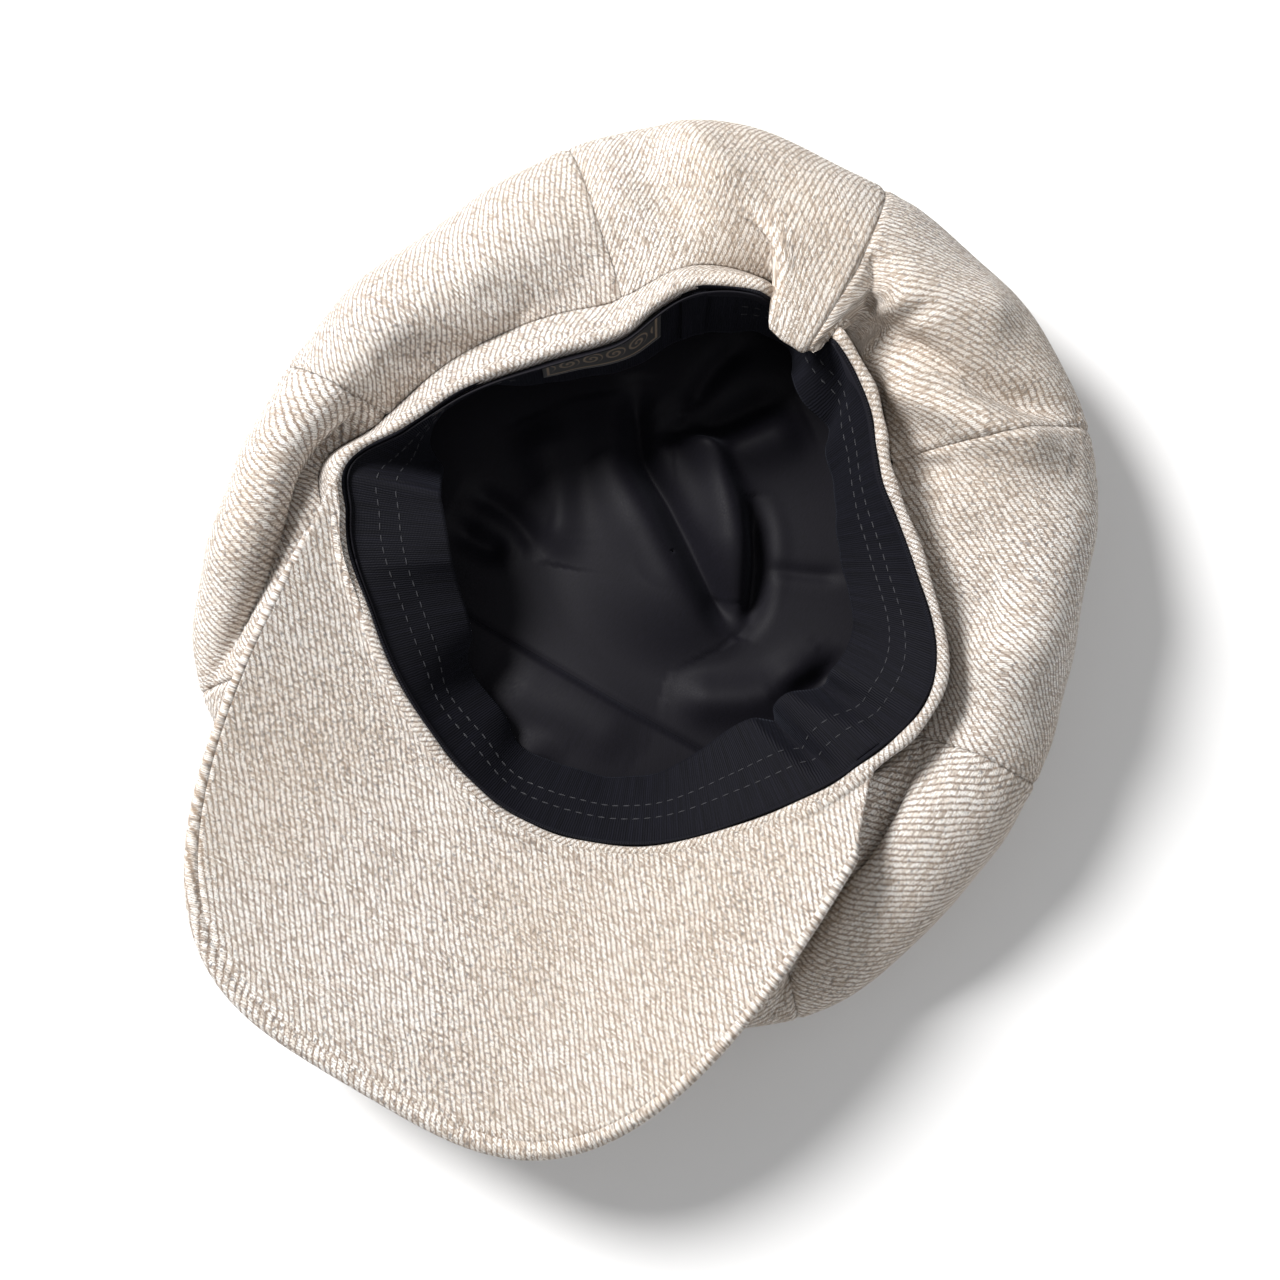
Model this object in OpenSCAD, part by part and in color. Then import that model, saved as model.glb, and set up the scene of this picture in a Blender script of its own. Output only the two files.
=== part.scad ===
// Newsboy cap, lying upside down on its crown with the head opening facing up.
// The peak points to -Y. Angles run round the crown centre, from the front (0) towards +X.
// Soft pieces are sheets: a grid of points on one face, and the same grid set back by the cloth.

/* [Cap] */
// Girth of the head opening with the fold at its back opened out
head_girth = 570; // [475:5:640]
// Width of the crown across its widest panels
crown_width = 262; // [232:2:316]
// Height of the rim's back above the table
cap_height = 74; // [64:1:88]

/* [Peak] */
// Width of the peak from side to side
peak_width = 185; // [160:1:200]
// Length of the peak from the rim to its front edge
peak_length = 88; // [70:1:105]
// Thickness of the board inside the peak
peak_board = 1.8; // [1.2:0.1:2.4]

/* [Band] */
// Height of the outer headband
band_height = 22; // [17:0.5:27]
// Width of the sweatband ribbon
sweatband_width = 34; // [28:0.1:42]

/* [Cloth] */
// Thickness of the outer twill
twill = 2; // [1.5:0.1:2.5]
// Thickness of the lining
lining = 0.6; // [0.4:0.1:1]
// Thickness of the sweatband ribbon
ribbon = 1; // [0.8:0.1:1.3]

/* [Button] */
// Diameter of the covered button on the crown
button_d = 23; // [19:1:27]
// Height of the covered button
button_h = 5; // [4:0.2:6]

/* [Hidden] */

// Stations run every 22.5 degrees from the front. Radii are shares of the mean head radius,
// crown reach is a share of half the crown's width, and heights are shares of the cap's height.
RIM_R = [1.08, 1.05, 0.99, 0.99, 1.00, 0.82, 0.73, 0.80, 0.85, 0.76, 0.68, 0.73, 0.89, 1.09, 1.05, 1.05];
RIM_Z = [0.58, 0.58, 0.66, 0.78, 0.85, 0.88, 0.91, 0.95, 1.00, 0.97, 0.93, 0.90, 0.88, 0.81, 0.73, 0.65];
REACH = [1.05, 1.09, 1.14, 1.06, 1.00, 0.96, 1.01, 0.99, 0.97, 1.00, 0.97, 0.94, 0.98, 1.05, 1.16, 1.10];
REACH_Z = [0.19, 0.22, 0.27, 0.34, 0.38, 0.41, 0.43, 0.46, 0.46, 0.46, 0.43, 0.43, 0.41, 0.38, 0.30, 0.22];
RIDGE_Z = [0.38, 0.38, 0.49, 0.68, 0.77, 0.81, 0.84, 0.88, 0.91, 0.89, 0.86, 0.84, 0.81, 0.73, 0.54, 0.41];
RIBBON_R = [0.84, 0.79, 0.66, 0.66, 0.67, 0.58, 0.58, 0.63, 0.79, 0.76, 0.68, 0.74, 0.90, 0.76, 0.73, 0.80];

panels = 8;
columns = 64;
panel_columns = columns / panels;
column_angle = 360 / columns;

head_r = head_girth * 180 / PI / 360;
crown_r = crown_width / 2;

// Clear space between the lining and the crown that it hangs inside
gap = 1.4;
// Clear space between sheets that are sewn face to face, and under a thread that lies on one
ease = 0.15;
// Radius of the hole where the panel tips meet round the button's shank
tip_r = 3;
// Radius inside which the crown is dished up by the button
dish_r = 40;
// Share of the crown's reach that lies flat on the table
foot_share = 0.7;
// How far across the puffed ring its ridge sits, from the band outwards
ridge_share = 0.42;
// Depth of the tab that sews the sweatband to the rim
tab_h = 5;
// How far the inner layers stop below the folded rim
rim_fold = 1.5;
interlining = 0.8;

interlining_face = twill + ease;
band_stack = interlining_face + interlining + ease;
lining_face = band_stack + lining + ease;

function wrap(i, n) = (i % n + n) % n;

// Smooth closed curve through evenly spaced stations
function ring(v, a) =
    let (n = len(v), t = a * n / 360, i = floor(t), f = t - i,
         p = [for (k = [-1:2]) v[wrap(i + k, n)]])
    p[1] + 0.5 * f * (p[2] - p[0] + f * (2 * p[0] - 5 * p[1] + 4 * p[2] - p[3]
        + f * (3 * (p[1] - p[2]) + p[3] - p[0])));

function rim_r(a) = head_r * ring(RIM_R, a);
function rim_z(a) = cap_height * ring(RIM_Z, a);
function reach(a) = crown_r * ring(REACH, a);
function reach_z(a) = cap_height * ring(REACH_Z, a);
function ridge_z(a) = cap_height * ring(RIDGE_Z, a);
function seam_z(a) = rim_z(a) - band_height;

// The band leans in at its top, most of all at the back left
function band_lean(a) = 4 + 3 * cos(a - 250);
function band_r(a, z) = rim_r(a) + band_lean(a) * (rim_z(a) - z) / band_height;
function ridge_r(a) =
    let (inner = band_r(a, seam_z(a)))
    inner + ridge_share * (reach(a) - inner);

ALL_ANGLES = [for (i = [0:columns - 1]) i * column_angle];
peak_reach = rim_r(0) + peak_length;
back_reach = max([for (a = ALL_ANGLES) -reach(a) * cos(a)]);
right_reach = max([for (a = ALL_ANGLES) reach(a) * sin(a)]);
left_reach = max([for (a = ALL_ANGLES) -reach(a) * sin(a)]);

// The crown's centre, placed so that the whole cap is centred on the origin
crown_x = (left_reach - right_reach) / 2;
crown_y = (peak_reach - back_reach) / 2;

// A profile point [r, z] stood up at an angle
function polar(p, a) = [crown_x + p[0] * sin(a), crown_y - p[0] * cos(a), p[1]];

function left_of(d) = [-d[1], d[0]] / norm(d);

// A profile moved sideways, to the left of its own direction
function inset(p, d) =
    let (last = len(p) - 1)
    [for (i = [0:last]) p[i] + d * left_of(p[min(i + 1, last)] - p[max(i - 1, 0)])];

// Height of the crown's outer face where it lies on the table, dished up round the button
function dish(r) =
    let (rise_r = button_d / 2 + 0.5)
    button_h * (r < rise_r ? 1 : r > dish_r ? 0 : (1 + cos(180 * (r - rise_r) / (dish_r - rise_r))) / 2);

// Outer face of the crown, from its centre along the table, round the puffed ring and in to the band
function crown_profile(a) =
    let (foot = foot_share * reach(a), out = reach(a), out_z = reach_z(a), top = ridge_r(a),
         top_z = ridge_z(a), end_z = seam_z(a) + 1.2 * twill, end = band_r(a, end_z))
    [
        for (r = [tip_r, button_d / 2 + 0.5, 21, 30, dish_r, (dish_r + foot) / 2, foot]) [r, dish(r)],
        for (t = [22.5:22.5:90]) [foot + (out - foot) * sin(t), out_z * (1 - cos(t))],
        for (t = [22.5:22.5:90]) [top + (out - top) * cos(t), out_z + (top_z - out_z) * sin(t)],
        for (t = [1, 2, 3] / 3) [top + (end - top) * t, top_z + (end_z - top_z) * pow(t, 1.6)]
    ];

// Inner face of the crown, ending on the outer face of the band
function crown_back(a) =
    let (p = inset(crown_profile(a), twill), last = len(p) - 1)
    [for (i = [0:last]) i < last ? p[i] : [band_r(a, seam_z(a)), seam_z(a)]];

// A strip of the band's stack between two depths under its outer face, at given heights
function band_strip(a, depth, heights) = [for (z = heights) [band_r(a, z) - depth, z]];
function inner_heights(a) = [seam_z(a) + 1, rim_z(a) - tab_h, rim_z(a) - rim_fold];

// The seam between the lining's tip and its front piece is a straight line across the cap
function tip_edge(a) = let (c = cos(a)) c < 0.55 ? 0.98 * head_r : min(49 / c, 0.98 * head_r);

// Face of the lining that looks at the crown: rows 0 to 4 are the tip, the rest go up to the rim
function lining_profile(a) =
    let (clear = twill + gap, foot = foot_share * reach(a), edge = tip_edge(a), out = reach(a) - clear,
         out_z = reach_z(a), wall = foot + 1)
    [
        for (r = [tip_r + 2, 13, 30, (30 + edge) / 2, edge]) [r, dish(r) + clear + (r < 14 ? 1 : 0)],
        [max(wall, edge + 2), clear],
        for (t = [30, 60, 90]) [wall + (out - wall) * sin(t), clear + (out_z - clear) * (1 - cos(t))],
        [out - 6, out_z + 0.35 * (ridge_z(a) - out_z)],
        [band_r(a, seam_z(a)) - band_stack, seam_z(a) - 1.5],
        each band_strip(a, band_stack, inner_heights(a))
    ];
tip_rows = 4;
lining_rows = len(lining_profile(0)) - 1;

// Back face of the lining: set in by its own thickness, straight where it lies on the interlining
function lining_back(a) =
    let (p = inset(lining_profile(a), lining), q = band_strip(a, band_stack + lining, inner_heights(a)),
         n = len(p) - len(q))
    [for (i = [0:len(p) - 1]) i < n ? p[i] : q[i - n]];

// Face of the sweatband that looks at the band: a sewn tab, then a straight run to the free edge
RIBBON_SHARES = [0, 0.3, 0.65, 1];
function sweatband_profile(a) =
    let (z = rim_z(a) - tab_h, top = [band_r(a, z) - lining_face, z],
         edge = min(head_r * ring(RIBBON_R, a), top[0] + 4), run = sweatband_width - tab_h,
         drop = sqrt(max(run * run - pow(top[0] - edge, 2), 36)))
    [
        each band_strip(a, lining_face, [rim_z(a) - rim_fold]),
        for (s = RIBBON_SHARES) top + s * ([edge, z - drop] - top)
    ];
function sweatband_face(a) = inset(sweatband_profile(a), -ribbon);

// A closed solid between two grids of points, given as rows of equal length. A ring joins its
// last column to its first.
module sheet(front, back, ring = false) {
    rows = len(front);
    cols = len(front[0]);
    last = ring ? cols - 1 : cols - 2;
    size = rows * cols;
    function at(side, i, j) = side * size + i * cols + j % cols;
    function quad(a, b, c, d) = [[a, b, c], [a, c, d]];
    faces = [
        for (i = [0:rows - 2], j = [0:last]) each quad(at(0, i, j), at(0, i + 1, j), at(0, i + 1, j + 1), at(0, i, j + 1)),
        for (i = [0:rows - 2], j = [0:last])
            for (t = quad(at(1, i, j), at(1, i + 1, j), at(1, i + 1, j + 1), at(1, i, j + 1))) [t[2], t[1], t[0]],
        for (j = [0:last]) each quad(at(0, 0, j), at(0, 0, j + 1), at(1, 0, j + 1), at(1, 0, j)),
        for (j = [0:last]) each quad(at(0, rows - 1, j + 1), at(0, rows - 1, j), at(1, rows - 1, j), at(1, rows - 1, j + 1)),
        if (!ring) for (i = [0:rows - 2]) each quad(at(0, i + 1, 0), at(0, i, 0), at(1, i, 0), at(1, i + 1, 0)),
        if (!ring) for (i = [0:rows - 2])
            each quad(at(0, i, cols - 1), at(0, i + 1, cols - 1), at(1, i + 1, cols - 1), at(1, i, cols - 1))
    ];
    polyhedron(points = [for (row = front) each row, for (row = back) each row], faces = faces, convexity = 8);
}

// Rows of a grid from profiles given at each angle
function grid(profiles, angles, first, last) =
    [for (i = [first:last]) [for (j = [0:len(angles) - 1]) polar(profiles[j][i], angles[j])]];

function span(from, to) = [for (i = [0:(to - from) / column_angle]) from + i * column_angle];

module crown_panel(index) {
    angles = span((index - 1) * 360 / panels, index * 360 / panels);
    front = [for (a = angles) crown_profile(a)];
    back = [for (a = angles) crown_back(a)];
    last = len(front[0]) - 1;
    color([0.80, 0.75, 0.68]) sheet(grid(front, angles, 0, last), grid(back, angles, 0, last));
}

module headband() {
    function heights(a) = [seam_z(a), seam_z(a) + 1.2 * twill, rim_z(a) - tab_h, rim_z(a)];
    front = [for (a = ALL_ANGLES) band_strip(a, 0, heights(a))];
    back = [for (a = ALL_ANGLES) band_strip(a, twill, heights(a))];
    color([0.76, 0.71, 0.64]) sheet(grid(front, ALL_ANGLES, 0, 3), grid(back, ALL_ANGLES, 0, 3), ring = true);
}

module band_interlining() {
    front = [for (a = ALL_ANGLES) band_strip(a, interlining_face, inner_heights(a))];
    back = [for (a = ALL_ANGLES) band_strip(a, interlining_face + interlining, inner_heights(a))];
    color([0.92, 0.91, 0.88]) sheet(grid(front, ALL_ANGLES, 0, 2), grid(back, ALL_ANGLES, 0, 2), ring = true);
}

module sweatband() {
    front = [for (a = ALL_ANGLES) sweatband_profile(a)];
    back = [for (a = ALL_ANGLES) sweatband_face(a)];
    last = len(RIBBON_SHARES);
    color([0.11, 0.11, 0.13]) sheet(grid(front, ALL_ANGLES, 0, last), grid(back, ALL_ANGLES, 0, last), ring = true);
}

// A point at a share of the way down the sweatband's inner face, lifted off it
function on_ribbon(a, share, lift) =
    let (p = sweatband_face(a),
         foot = [for (k = [0, 1]) lookup(share, [for (i = [0:3]) [RIBBON_SHARES[i], p[i + 1][k]]])])
    polar(foot - (lift + ease) * left_of(p[4] - p[1]), a);

// Two rows of stitching round the ribbon, broken where the label and its tab are
module sweatband_thread() {
    angles = span(253.125, 556.875);
    half = 0.4 / sweatband_width;
    color([0.30, 0.30, 0.33])
        for (share = [0.3, 0.65])
            sheet([for (s = [share - half, share + half]) [for (a = angles) on_ribbon(a, s, 0.4)]],
                  [for (s = [share - half, share + half]) [for (a = angles) on_ribbon(a, s, 0)]]);
}

// A patch sewn flat on the ribbon between two angles, over part of its width
module ribbon_patch(from, to, shares, thickness) {
    angles = span(from, to);
    sheet([for (s = shares) [for (a = angles) on_ribbon(a, s, thickness)]],
          [for (s = shares) [for (a = angles) on_ribbon(a, s, 0)]]);
}

module woven_label() {
    color([0.45, 0.37, 0.30]) ribbon_patch(213.75, 247.5, [0.1, 0.3, 0.65], 0.6);
}

module care_tab() {
    color([0.09, 0.09, 0.10]) ribbon_patch(202.5, 208.125, [0, 0.3, 0.65, 0.9], 0.9);
}

module lining_piece(angles, first, last, ring = false) {
    front = [for (a = angles) lining_profile(a)];
    back = [for (a = angles) lining_back(a)];
    color([0.12, 0.12, 0.14]) sheet(grid(front, angles, first, last), grid(back, angles, first, last), ring);
}

module lining_tip() {
    lining_piece(ALL_ANGLES, 0, tip_rows, ring = true);
}

// The front piece spans this many degrees to each side of the middle
front_half_angle = 10 * column_angle;

module lining_front() {
    lining_piece(span(-front_half_angle, front_half_angle), tip_rows, lining_rows);
}

module lining_sides() {
    lining_piece(span(front_half_angle, 360 - front_half_angle), tip_rows, lining_rows);
}

// Turned pieces of the covered button, on the crown's axis. The cover's flat face meets the table.
cover = 0.8;
shell = 0.5;
back_plate = 0.8;
shank_r = tip_r - 0.6;

module turned(profile) {
    translate([crown_x, crown_y, 0]) rotate_extrude($fn = 96) polygon(profile);
}

// Half section of a shallow flat-faced cap with a rounded shoulder
function cap_section(r, low, high, t) =
    let (shoulder = 3, inner = max(shoulder - t, 0.5))
    [
        [0, low], for (q = [0:15:90]) [r - shoulder + shoulder * sin(q), low + shoulder * (1 - cos(q))],
        [r, high], [r - t, high],
        for (q = [90:-15:0]) [r - t - inner + inner * sin(q), low + t + inner * (1 - cos(q))],
        [0, low + t]
    ];

module button_cover() {
    color([0.80, 0.75, 0.68]) turned(cap_section(button_d / 2, 0, button_h - back_plate, cover));
}

module button_shell() {
    color([0.75, 0.75, 0.76])
        turned(cap_section(button_d / 2 - cover, cover, button_h - back_plate, shell));
}

// Back plate, with a tube shank that goes up through the panel tips
module button_back() {
    top = button_h + twill + 0.8;
    color([0.70, 0.70, 0.72])
        turned([[shank_r - 0.8, button_h - back_plate], [button_d / 2 - 0.3, button_h - back_plate],
                [button_d / 2 - 0.3, button_h], [shank_r, button_h], [shank_r, top], [shank_r - 0.8, top]]);
}

module button_washer() {
    low = button_h + twill;
    color([0.72, 0.60, 0.36]) turned([[shank_r, low], [7, low], [7, low + 0.6], [shank_r, low + 0.6]]);
}

// The peak: u runs along the rim from its left corner (0) to its right (1), v from rim to front edge
peak_columns = 40;
peak_half_angle = 71;
// Clear space between the peak's root and the band, which lets the peak turn
root_gap = 2.8;
hem = 6;
corner_y = crown_y - rim_r(-peak_half_angle) * cos(peak_half_angle);
front_y = crown_y - peak_reach;

function peak_root(u) =
    let (a = peak_half_angle * (2 * u - 1), low = peak_z(polar([rim_r(a), 0], a)) - 0.8 * twill - peak_board,
         r = band_r(a, min(low, rim_z(a))) + root_gap)
    [crown_x + r * sin(a), crown_y - r * cos(a)];

// A squared-off oval, wide at the sides and gently bowed at the front
function peak_edge(u) =
    let (t = 4 + 172 * u, c = cos(t))
    [crown_x - sign(c) * peak_width / 2 * pow(abs(c), 0.55),
     corner_y + (front_y - corner_y) * pow(sin(t), 0.72)];

// Height of the peak's middle surface: raised along both sides and a little at the front
function peak_z(p) =
    let (side = min(abs(p[0] - crown_x) / (peak_width / 2), 1),
         ahead = max((crown_y - rim_r(0) - p[1]) / peak_length, 0))
    rim_z(0) - 3.4 + 0.26 * cap_height * pow(side, 2.4) + 0.11 * cap_height * ahead * ahead * (1 - side * side);

PEAK_U = [for (i = [0:peak_columns]) i / peak_columns];
function peak_run(u) = norm(peak_edge(u) - peak_root(u));
// Where the board stops, as a share of the way to the edge
function board_end(u) = max(0.4, 1 - hem / peak_run(u));
function peak_shares(u) = [for (i = [0:6]) i / 6 * board_end(u), 1];
// Half the thickness of the space for the board, closing to nothing at the hem's edge
function pocket(u, v) = peak_board / 2 * min(1, (1 - v) * peak_run(u) / hem);
function peak_point(u, v, lift) =
    let (p = peak_root(u) + v * (peak_edge(u) - peak_root(u)))
    [p[0], p[1], peak_z(p) + lift];

// One cloth of the peak: side is 1 for the face seen from the head opening, -1 for the other
module peak_cloth(side) {
    near = [for (i = [0:7]) [for (u = PEAK_U) let (v = peak_shares(u)[i]) peak_point(u, v, side * pocket(u, v))]];
    far = [for (i = [0:7])
        [for (u = PEAK_U) let (v = peak_shares(u)[i]) peak_point(u, v, side * (pocket(u, v) + 0.8 * twill))]];
    if (side > 0) sheet(near, far);
    else sheet(far, near);
}

module peak_top() {
    color([0.80, 0.75, 0.68]) peak_cloth(-1);
}

module peak_under() {
    color([0.78, 0.73, 0.66]) peak_cloth(1);
}

module peak_stiffener() {
    angles = [for (u = PEAK_U) if (0.6 * peak_run(u) > hem) u];
    function face(lift) = [for (i = [0:6]) [for (u = angles) peak_point(u, peak_shares(u)[i], lift)]];
    color([0.90, 0.90, 0.88]) sheet(face(-peak_board / 2), face(peak_board / 2));
}

// A line of thread lying on one face of the peak, at given shares of the way to the edge
module peak_thread(side, stations) {
    wide = 0.4;
    function level(u, v) = side * (pocket(u, v) + 0.8 * twill);
    function line(shift, lift) =
        [for (s = stations) let (u = s[0], v = s[1] + shift / peak_run(u)) peak_point(u, v, level(u, v) + side * lift)];
    low = [line(-wide, ease), line(wide, ease)];
    high = [line(-wide, ease + 0.4), line(wide, ease + 0.4)];
    if (side > 0) sheet(low, high);
    else sheet(high, low);
}

topstitch_inset = 4.5;
// The topstitching stops short of the corners
TOPSTITCH = [for (u = PEAK_U) if (u > 0.06 && u < 0.94) [u, 1 - topstitch_inset / peak_run(u)]];

module peak_needle_thread() {
    color([0.86, 0.82, 0.74]) peak_thread(1, TOPSTITCH);
}

module peak_bobbin_thread() {
    color([0.86, 0.82, 0.74]) peak_thread(-1, TOPSTITCH);
}

// The row of small stitches that ties the front of the crown to the peak
module tack_thread() {
    arc = [for (u = PEAK_U) if (u > 0.14 && u < 0.86) [u, 0.1 + 0.52 * pow(sin(180 * (u - 0.14) / 0.72), 0.8)]];
    color([0.74, 0.69, 0.61]) peak_thread(1, arc);
}

crown_panel(1);  // crown_panel_1
crown_panel(2);  // crown_panel_2
crown_panel(3);  // crown_panel_3
crown_panel(4);  // crown_panel_4
crown_panel(5);  // crown_panel_5
crown_panel(6);  // crown_panel_6
crown_panel(7);  // crown_panel_7
crown_panel(8);  // crown_panel_8
headband();
band_interlining();
sweatband();
sweatband_thread();
lining_tip();
lining_sides();
lining_front();
woven_label();
care_tab();
button_cover();
button_shell();
button_back();
button_washer();
peak_top();
peak_stiffener();
peak_under();
peak_needle_thread();
peak_bobbin_thread();
tack_thread();
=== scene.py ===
"""A soft newsboy cap lying upside down on its crown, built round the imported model. Metres."""

from math import cos, pi, radians, sin

import bmesh
import bpy
import numpy as np
from mathutils import Matrix, Vector


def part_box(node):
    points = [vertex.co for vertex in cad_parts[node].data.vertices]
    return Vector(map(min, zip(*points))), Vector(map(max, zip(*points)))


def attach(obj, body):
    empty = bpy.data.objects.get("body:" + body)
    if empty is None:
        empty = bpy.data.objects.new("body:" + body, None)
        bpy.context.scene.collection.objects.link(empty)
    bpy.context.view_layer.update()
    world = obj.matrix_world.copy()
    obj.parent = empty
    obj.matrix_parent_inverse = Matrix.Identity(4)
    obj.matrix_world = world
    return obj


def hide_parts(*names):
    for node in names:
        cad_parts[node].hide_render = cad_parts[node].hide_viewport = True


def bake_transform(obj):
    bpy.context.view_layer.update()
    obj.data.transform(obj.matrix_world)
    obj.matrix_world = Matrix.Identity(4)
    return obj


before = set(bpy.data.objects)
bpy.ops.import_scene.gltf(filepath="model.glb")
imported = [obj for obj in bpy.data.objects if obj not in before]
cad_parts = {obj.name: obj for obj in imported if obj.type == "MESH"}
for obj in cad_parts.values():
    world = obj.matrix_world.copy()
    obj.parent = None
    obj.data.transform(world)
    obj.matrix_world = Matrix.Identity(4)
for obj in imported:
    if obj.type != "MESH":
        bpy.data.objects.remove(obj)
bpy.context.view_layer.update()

MM = 0.001

# ---------------------------------------------------------------- sizes, the same as the frame's

button_low, button_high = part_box("button_cover")
CROWN_X = (button_low.x + button_high.x) / 2
CROWN_Y = (button_low.y + button_high.y) / 2
BUTTON_R = (button_high.x - button_low.x) / 2
CAP_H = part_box("headband")[1].z
FRONT_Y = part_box("peak_under")[0].y
HEAD_R = 570 * MM / (2 * pi)
CROWN_R = 131 * MM
BAND_H = 22 * MM
BUTTON_H = 5 * MM
TWILL = 1.5 * MM
LINING = 0.5 * MM
RIBBON = 0.8 * MM
RIBBON_RUN = 29 * MM
TIP_R = 3 * MM
FOOT_SHARE = 0.7
RIDGE_SHARE = 0.42
PANEL = 45
HALF_PANEL = 22.5

# Stations every 22.5 degrees from the front, counted towards +X
RIM_R = [1.08, 1.05, 0.99, 0.99, 1.00, 0.82, 0.73, 0.80, 0.85, 0.76, 0.68, 0.73, 0.89, 1.09, 1.05, 1.05]
RIM_Z = [0.58, 0.58, 0.66, 0.78, 0.85, 0.88, 0.91, 0.95, 1.00, 0.97, 0.93, 0.90, 0.88, 0.81, 0.73, 0.65]
REACH = [1.05, 1.09, 1.14, 1.06, 1.00, 0.96, 1.01, 0.99, 0.97, 1.00, 0.97, 0.94, 0.98, 1.05, 1.16, 1.10]
REACH_Z = [0.19, 0.22, 0.27, 0.34, 0.38, 0.41, 0.43, 0.46, 0.46, 0.46, 0.43, 0.43, 0.41, 0.38, 0.30, 0.22]
RIDGE_Z = [0.38, 0.38, 0.49, 0.68, 0.77, 0.81, 0.84, 0.88, 0.91, 0.89, 0.86, 0.84, 0.81, 0.73, 0.54, 0.41]
RIBBON_R = [0.84, 0.79, 0.66, 0.66, 0.67, 0.58, 0.58, 0.63, 0.79, 0.76, 0.68, 0.74, 0.90, 0.76, 0.73, 0.80]


def between(f, a, b, c, d):
    """A smooth step from b to c at share f, with a and d as the neighbours before and after them."""
    return b + 0.5 * f * (c - a + f * (2 * a - 5 * b + 4 * c - d + f * (3 * (b - c) + d - a)))


def closed_curve(stations, angle):
    """A smooth closed curve through evenly spaced stations."""
    value = np.asarray(stations)
    place = np.asarray(angle, float) * len(value) / 360
    first = np.floor(place).astype(int)
    f = place - first
    return between(f, *(value[(first + k) % len(value)] for k in (-1, 0, 1, 2)))


def bump(x, centre, half_width):
    """A smooth hump: 1 at its centre and 0 from half_width away. Angles wrap round."""
    away = np.abs((np.asarray(x) - centre + 180) % 360 - 180) / half_width
    return np.where(away < 1, 0.5 + 0.5 * np.cos(pi * np.clip(away, 0, 1)), 0)


def ease(x):
    """0 below 0, 1 above 1 and a smooth step between."""
    t = np.clip(x, 0, 1)
    return t * t * (3 - 2 * t)


def flop(angle, run=0.6):
    """Where the crown's cloth flops over the back of the rim.

    run goes 0 to 1 from the crown's ridge to its seam.
    """
    near = np.clip(np.asarray(run) / 0.5, 0, 1)
    left = ease((198 - 10 * near - angle) / (24 - 18 * near) + 0.5)
    right = ease((angle - 171.5) / (18 - 14 * near) + 0.5)
    return left * right


def rim_r(angle):
    corner = 5 * MM * bump(angle, 287, 9)
    slack = 6 * MM * bump(angle, 203, 26)
    return HEAD_R * closed_curve(RIM_R, angle) + corner + slack


def rim_z(angle):
    return CAP_H * closed_curve(RIM_Z, angle) - 6 * MM * flop(angle)


def reach(angle):
    return CROWN_R * closed_curve(REACH, angle)


def reach_z(angle):
    return CAP_H * closed_curve(REACH_Z, angle)


def ridge_z(angle):
    return CAP_H * closed_curve(RIDGE_Z, angle)


def band_lean(angle):
    """How far the headband leans out from its rim to its seam, most of all at the back left."""
    return (4 + 3 * np.cos(np.radians(angle - 250)) + 7 * bump(angle, 245, 50)) * MM


def seam_z(angle):
    raised = 8 * bump(angle, 232, 55) + 9 * bump(angle, 207, 20) + 9 * bump(angle, 295, 22)
    return rim_z(angle) - BAND_H + raised * MM


def band_r(angle, z):
    """Radius of the headband's outer face."""
    return rim_r(angle) + band_lean(angle) * (rim_z(angle) - z) / (rim_z(angle) - seam_z(angle))


def ridge_r(angle):
    inner = band_r(angle, seam_z(angle))
    return inner + RIDGE_SHARE * (reach(angle) - inner)


def stand(r, z, angle):
    """Points at a radius, a height and an angle round the crown's centre."""
    a = np.radians(angle)
    r, z, a = np.broadcast_arrays(r, z, a)
    return np.stack([CROWN_X + r * np.sin(a), CROWN_Y - r * np.cos(a), z], axis=-1)


def dish(r):
    """How far the crown is dished up by its button."""
    rise, end = BUTTON_R + 0.5 * MM, 40 * MM
    share = np.clip((r - rise) / (end - rise), 0, 1)
    return BUTTON_H * np.where(r < end, 0.5 + 0.5 * np.cos(pi * share), 0)


def through(shares, values, x):
    """A smooth curve through values at given shares, without overshoot at the ends."""
    n = len(shares)
    place = np.clip(np.interp(x, shares, np.arange(n)), 0, n - 1.000001)
    first = np.floor(place).astype(int)
    f = place - first
    pick = [values[i] for i in range(n)]
    stack = np.stack(np.broadcast_arrays(*pick, np.zeros_like(x))[:-1])
    rows = np.arange(x.size)
    flat = stack.reshape(n, -1)

    def at(k):
        return flat[np.clip(first + k, 0, n - 1).ravel(), rows].reshape(x.shape)

    return between(f, at(-1), at(0), at(1), at(2))


# ---------------------------------------------------------------- folds


def plan_point(angle, share):
    """A point between the rim (share 0) and the crown's outline (share 1), seen from above."""
    r = rim_r(angle) + share * (reach(angle) - rim_r(angle))
    x, y, _ = stand(r, 0, angle)
    return np.array([x, y])


def smooth_route(route, steps=6):
    """Plan points of a route, with a smooth curve through its corners."""
    points = np.array(route, float)
    n = len(points)
    x = np.linspace(0, 1, (n - 1) * steps + 1)
    share = np.linspace(0, 1, n)
    return np.stack([through(share, points[:, k], x) for k in range(2)], axis=-1)


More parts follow.
